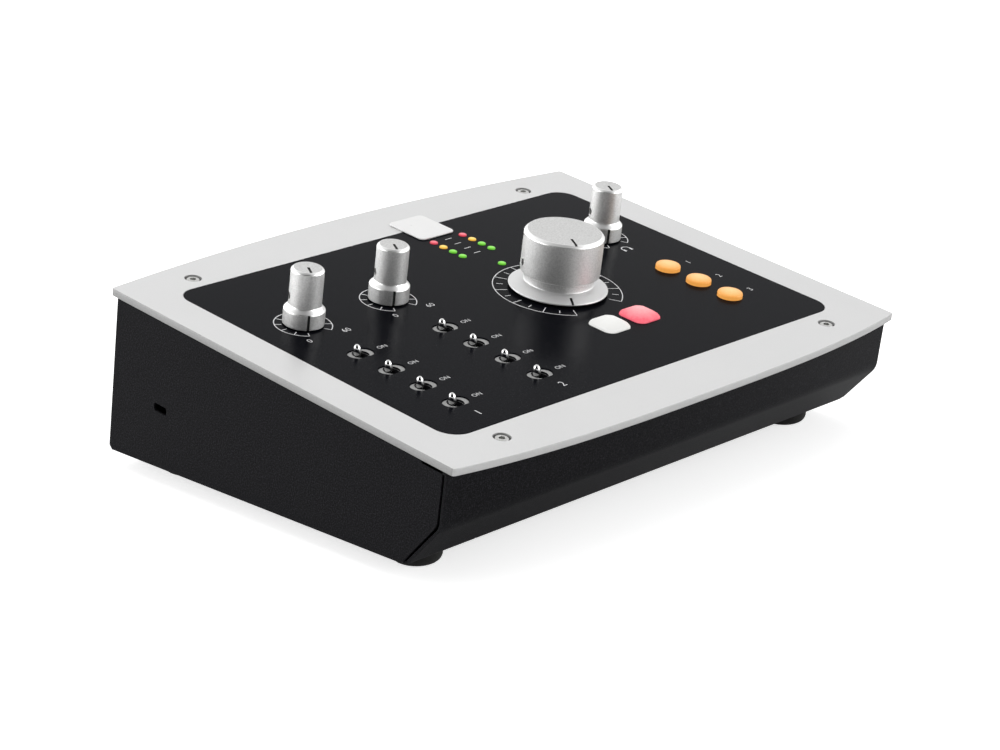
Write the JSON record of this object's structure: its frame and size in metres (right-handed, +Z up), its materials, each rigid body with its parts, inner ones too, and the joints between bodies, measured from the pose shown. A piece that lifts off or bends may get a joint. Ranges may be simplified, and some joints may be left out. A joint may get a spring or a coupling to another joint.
{
  "type": "desktop audio interface",
  "caption": "Wedge-shaped desktop audio interface: folded black case, silver deck plate with a flush black panel, metal knobs, toggle levers, lit buttons and a small level meter.",
  "frame": {"origin": "under the middle of the object, on the surface that its feet stand on", "axes": "+X to the right along the front edge, +Y to the back, +Z up"},
  "size_m": [0.265, 0.2084, 0.094],
  "materials": {
    "powder_coat": "fine textured black powder coat",
    "satin_silver": "satin silver",
    "panel_film": "satin black with white printing",
    "white_badge": "smooth white",
    "black_rubber": "matt",
    "bright_steel": "bright",
    "zinc_steel": "plain plated",
    "machined_silver": "brushed and bead-blasted with bright bevels",
    "lever_chrome": "polished",
    "lit_white": "satin translucent white",
    "lit_red": "satin translucent red",
    "lit_amber": "satin translucent amber",
    "light_lens": "clear tinted",
    "board_green": "solder mask",
    "moulded_black": "satin moulded"
  },
  "bodies": {
    "case": {"case_pan": "powder_coat", "rear_panel": "powder_coat", "deck_plate": "satin_silver", "control_panel": "panel_film", "badge_tile": "white_badge", "foot_front_left": "black_rubber", "foot_front_right": "black_rubber", "foot_rear_left": "black_rubber", "foot_rear_right": "black_rubber", "plate_screw_front_left": "bright_steel", "plate_screw_front_right": "bright_steel", "plate_screw_rear_left": "bright_steel", "plate_screw_rear_right": "bright_steel", "gain_1_control": "zinc_steel", "gain_2_control": "zinc_steel", "phones_control": "zinc_steel", "monitor_control": "zinc_steel", "meter_lens_left": "light_lens", "meter_lens_right": "light_lens", "status_lens": "light_lens", "control_board": "board_green", "main_board": "board_green", "board_spacer_front_left": "zinc_steel", "board_spacer_front_right": "zinc_steel", "board_spacer_rear_left": "zinc_steel", "board_spacer_rear_right": "zinc_steel", "input_socket_1": "moulded_black", "input_socket_2": "moulded_black", "line_jack_block": "moulded_black", "phones_jack": "moulded_black", "optical_socket_block": "moulded_black", "usb_socket": "zinc_steel", "power_inlet": "moulded_black", "power_switch_housing": "moulded_black"},
    "gain_1_dial": {"gain_1_knob": "machined_silver", "gain_1_shaft": "zinc_steel", "gain_1_grub_screw": "bright_steel"},
    "gain_2_dial": {"gain_2_knob": "machined_silver", "gain_2_shaft": "zinc_steel", "gain_2_grub_screw": "bright_steel"},
    "phones_dial": {"phones_knob": "machined_silver", "phones_shaft": "zinc_steel", "phones_grub_screw": "bright_steel"},
    "monitor_dial": {"monitor_knob": "machined_silver", "monitor_shaft": "zinc_steel", "monitor_grub_screw": "bright_steel"},
    "toggle_1_1": {"toggle_lever_1_1": "lever_chrome"},
    "toggle_1_2": {"toggle_lever_1_2": "lever_chrome"},
    "toggle_1_3": {"toggle_lever_1_3": "lever_chrome"},
    "toggle_1_4": {"toggle_lever_1_4": "lever_chrome"},
    "toggle_2_1": {"toggle_lever_2_1": "lever_chrome"},
    "toggle_2_2": {"toggle_lever_2_2": "lever_chrome"},
    "toggle_2_3": {"toggle_lever_2_3": "lever_chrome"},
    "toggle_2_4": {"toggle_lever_2_4": "lever_chrome"},
    "dim_button_cap": {"dim_button": "lit_white"},
    "cut_button_cap": {"cut_button": "lit_red"},
    "function_button_1_cap": {"function_button_1": "lit_amber"},
    "function_button_2_cap": {"function_button_2": "lit_amber"},
    "function_button_3_cap": {"function_button_3": "lit_amber"},
    "power_switch_rocker": {"power_rocker": "moulded_black"}
  },
  "joints": [
    {"name": "gain_1_turn", "type": "hinge", "parent": "case", "child": "gain_1_dial", "pos_m": [-0.0909, 0.02816, 0.06905], "axis": [0, -0.1305, 0.9914], "range_deg": [-300, 0]},
    {"name": "gain_2_turn", "type": "hinge", "parent": "case", "child": "gain_2_dial", "pos_m": [-0.0441, 0.02816, 0.06905], "axis": [0, -0.1305, 0.9914], "range_deg": [-300, 0]},
    {"name": "phones_turn", "type": "hinge", "parent": "case", "child": "phones_dial", "pos_m": [0.0861, 0.02816, 0.06905], "axis": [0, -0.1305, 0.9914], "range_deg": [-300, 0]},
    {"name": "monitor_turn", "type": "hinge", "parent": "case", "child": "monitor_dial", "pos_m": [0.0255, -0.00148, 0.06514], "axis": [0, -0.1305, 0.9914], "range_deg": [-300, 0]},
    {"name": "toggle_1_1_flip", "type": "hinge", "parent": "case", "child": "toggle_1_1", "pos_m": [-0.0906, -0.00318, 0.05584], "axis": [0, 0.9914, 0.1305], "range_deg": [0, 22]},
    {"name": "toggle_1_2_flip", "type": "hinge", "parent": "case", "child": "toggle_1_2", "pos_m": [-0.0906, -0.0204, 0.05358], "axis": [0, 0.9914, 0.1305], "range_deg": [0, 22]},
    {"name": "toggle_1_3_flip", "type": "hinge", "parent": "case", "child": "toggle_1_3", "pos_m": [-0.0906, -0.03761, 0.05131], "axis": [0, 0.9914, 0.1305], "range_deg": [0, 22]},
    {"name": "toggle_1_4_flip", "type": "hinge", "parent": "case", "child": "toggle_1_4", "pos_m": [-0.0906, -0.05482, 0.04904], "axis": [0, 0.9914, 0.1305], "range_deg": [0, 22]},
    {"name": "toggle_2_1_flip", "type": "hinge", "parent": "case", "child": "toggle_2_1", "pos_m": [-0.0439, -0.00318, 0.05584], "axis": [0, 0.9914, 0.1305], "range_deg": [0, 22]},
    {"name": "toggle_2_2_flip", "type": "hinge", "parent": "case", "child": "toggle_2_2", "pos_m": [-0.0439, -0.0204, 0.05358], "axis": [0, 0.9914, 0.1305], "range_deg": [0, 22]},
    {"name": "toggle_2_3_flip", "type": "hinge", "parent": "case", "child": "toggle_2_3", "pos_m": [-0.0439, -0.03761, 0.05131], "axis": [0, 0.9914, 0.1305], "range_deg": [0, 22]},
    {"name": "toggle_2_4_flip", "type": "hinge", "parent": "case", "child": "toggle_2_4", "pos_m": [-0.0439, -0.05482, 0.04904], "axis": [0, 0.9914, 0.1305], "range_deg": [0, 22]},
    {"name": "dim_button_press", "type": "slide", "parent": "case", "child": "dim_button_cap", "axis": [0, 0.1305, -0.9914], "range_m": [0, 0.0012], "stiffness_N_per_m": 300, "springref_m": -0.0005},
    {"name": "cut_button_press", "type": "slide", "parent": "case", "child": "cut_button_cap", "axis": [0, 0.1305, -0.9914], "range_m": [0, 0.0012], "stiffness_N_per_m": 300, "springref_m": -0.0005},
    {"name": "function_button_1_press", "type": "slide", "parent": "case", "child": "function_button_1_cap", "axis": [0, 0.1305, -0.9914], "range_m": [0, 0.0012], "stiffness_N_per_m": 300, "springref_m": -0.0005},
    {"name": "function_button_2_press", "type": "slide", "parent": "case", "child": "function_button_2_cap", "axis": [0, 0.1305, -0.9914], "range_m": [0, 0.0012], "stiffness_N_per_m": 300, "springref_m": -0.0005},
    {"name": "function_button_3_press", "type": "slide", "parent": "case", "child": "function_button_3_cap", "axis": [0, 0.1305, -0.9914], "range_m": [0, 0.0012], "stiffness_N_per_m": 300, "springref_m": -0.0005},
    {"name": "power_rock", "type": "hinge", "parent": "case", "child": "power_switch_rocker", "pos_m": [0.115, 0.09596, 0.04671], "axis": [1, 0, 0], "range_deg": [-18, 0]}
  ]
}
